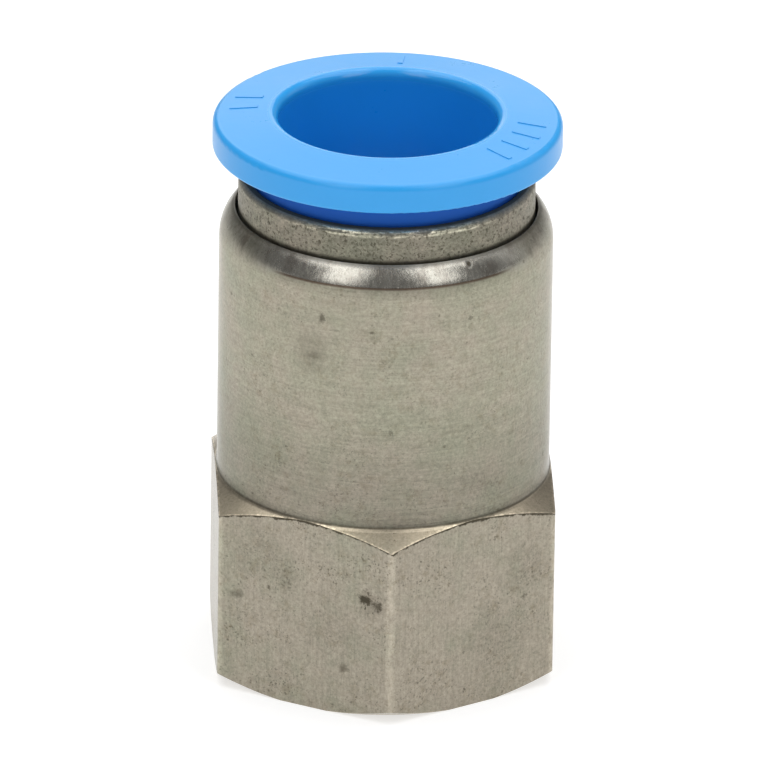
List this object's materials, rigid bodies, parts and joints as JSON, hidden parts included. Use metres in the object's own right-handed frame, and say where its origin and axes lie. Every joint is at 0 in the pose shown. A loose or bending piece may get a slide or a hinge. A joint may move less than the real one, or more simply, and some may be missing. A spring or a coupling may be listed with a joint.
{
  "type": "push to connect fitting",
  "caption": "Straight push to connect pneumatic fitting: a nickel-plated hexagon body with a female pipe thread and a blue release ring that frees the tube.",
  "frame": {"origin": "centre of the hexagon's end face, where the female port opens", "axes": "+Z along the fitting's axis, from the port to the release ring; two of the hexagon's flats face +X and -X, and two of its corners point to +Y and -Y"},
  "size_m": [0.0196, 0.0218, 0.0328],
  "materials": {
    "plated_brass": "satin nickel plate",
    "blue_acetal": "semi-matte, moulded",
    "spring_stainless": "stamped",
    "natural_acetal": "moulded",
    "black_rubber": "moulded"
  },
  "bodies": {
    "fitting": {"body": "plated_brass", "guide_ring": "plated_brass", "lock_ring": "spring_stainless", "backing_ring": "natural_acetal", "tube_seal": "black_rubber"},
    "release": {"release_ring": "blue_acetal"},
    "tooth_01": {"lock_tooth_01": "spring_stainless"},
    "tooth_02": {"lock_tooth_02": "spring_stainless"},
    "tooth_03": {"lock_tooth_03": "spring_stainless"},
    "tooth_04": {"lock_tooth_04": "spring_stainless"},
    "tooth_05": {"lock_tooth_05": "spring_stainless"},
    "tooth_06": {"lock_tooth_06": "spring_stainless"},
    "tooth_07": {"lock_tooth_07": "spring_stainless"},
    "tooth_08": {"lock_tooth_08": "spring_stainless"},
    "tooth_09": {"lock_tooth_09": "spring_stainless"},
    "tooth_10": {"lock_tooth_10": "spring_stainless"},
    "tooth_11": {"lock_tooth_11": "spring_stainless"},
    "tooth_12": {"lock_tooth_12": "spring_stainless"},
    "tooth_13": {"lock_tooth_13": "spring_stainless"},
    "tooth_14": {"lock_tooth_14": "spring_stainless"}
  },
  "joints": [
    {"name": "release_slide", "type": "slide", "parent": "fitting", "child": "release", "axis": [0, 0, -1], "range_m": [0, 0.0015], "stiffness_N_per_m": 2500},
    {"name": "tooth_01_bend", "type": "hinge", "parent": "fitting", "child": "tooth_01", "pos_m": [0.00735, 0, 0.02247], "axis": [0, -1, 0], "range_deg": [0, 19]},
    {"name": "tooth_02_bend", "type": "hinge", "parent": "fitting", "child": "tooth_02", "pos_m": [0.00662, 0.00319, 0.02247], "axis": [0.4339, -0.901, 0], "range_deg": [0, 19]},
    {"name": "tooth_03_bend", "type": "hinge", "parent": "fitting", "child": "tooth_03", "pos_m": [0.00458, 0.00575, 0.02247], "axis": [0.7818, -0.6235, 0], "range_deg": [0, 19]},
    {"name": "tooth_04_bend", "type": "hinge", "parent": "fitting", "child": "tooth_04", "pos_m": [0.00164, 0.00717, 0.02247], "axis": [0.9749, -0.2225, 0], "range_deg": [0, 19]},
    {"name": "tooth_05_bend", "type": "hinge", "parent": "fitting", "child": "tooth_05", "pos_m": [-0.00164, 0.00717, 0.02247], "axis": [0.9749, 0.2225, 0], "range_deg": [0, 19]},
    {"name": "tooth_06_bend", "type": "hinge", "parent": "fitting", "child": "tooth_06", "pos_m": [-0.00458, 0.00575, 0.02247], "axis": [0.7818, 0.6235, 0], "range_deg": [0, 19]},
    {"name": "tooth_07_bend", "type": "hinge", "parent": "fitting", "child": "tooth_07", "pos_m": [-0.00662, 0.00319, 0.02247], "axis": [0.4339, 0.901, 0], "range_deg": [0, 19]},
    {"name": "tooth_08_bend", "type": "hinge", "parent": "fitting", "child": "tooth_08", "pos_m": [-0.00735, 0, 0.02247], "axis": [0, 1, 0], "range_deg": [0, 19]},
    {"name": "tooth_09_bend", "type": "hinge", "parent": "fitting", "child": "tooth_09", "pos_m": [-0.00662, -0.00319, 0.02247], "axis": [-0.4339, 0.901, 0], "range_deg": [0, 19]},
    {"name": "tooth_10_bend", "type": "hinge", "parent": "fitting", "child": "tooth_10", "pos_m": [-0.00458, -0.00575, 0.02247], "axis": [-0.7818, 0.6235, 0], "range_deg": [0, 19]},
    {"name": "tooth_11_bend", "type": "hinge", "parent": "fitting", "child": "tooth_11", "pos_m": [-0.00164, -0.00717, 0.02247], "axis": [-0.9749, 0.2225, 0], "range_deg": [0, 19]},
    {"name": "tooth_12_bend", "type": "hinge", "parent": "fitting", "child": "tooth_12", "pos_m": [0.00164, -0.00717, 0.02247], "axis": [-0.9749, -0.2225, 0], "range_deg": [0, 19]},
    {"name": "tooth_13_bend", "type": "hinge", "parent": "fitting", "child": "tooth_13", "pos_m": [0.00458, -0.00575, 0.02247], "axis": [-0.7818, -0.6235, 0], "range_deg": [0, 19]},
    {"name": "tooth_14_bend", "type": "hinge", "parent": "fitting", "child": "tooth_14", "pos_m": [0.00662, -0.00319, 0.02247], "axis": [-0.4339, -0.901, 0], "range_deg": [0, 19]}
  ],
  "couplings": [
    {"joint": "tooth_01_bend", "follows": "release_slide", "rad_per_m": 221},
    {"joint": "tooth_02_bend", "follows": "release_slide", "rad_per_m": 221},
    {"joint": "tooth_03_bend", "follows": "release_slide", "rad_per_m": 221},
    {"joint": "tooth_04_bend", "follows": "release_slide", "rad_per_m": 221},
    {"joint": "tooth_05_bend", "follows": "release_slide", "rad_per_m": 221},
    {"joint": "tooth_06_bend", "follows": "release_slide", "rad_per_m": 221},
    {"joint": "tooth_07_bend", "follows": "release_slide", "rad_per_m": 221},
    {"joint": "tooth_08_bend", "follows": "release_slide", "rad_per_m": 221},
    {"joint": "tooth_09_bend", "follows": "release_slide", "rad_per_m": 221},
    {"joint": "tooth_10_bend", "follows": "release_slide", "rad_per_m": 221},
    {"joint": "tooth_11_bend", "follows": "release_slide", "rad_per_m": 221},
    {"joint": "tooth_12_bend", "follows": "release_slide", "rad_per_m": 221},
    {"joint": "tooth_13_bend", "follows": "release_slide", "rad_per_m": 221},
    {"joint": "tooth_14_bend", "follows": "release_slide", "rad_per_m": 221}
  ]
}
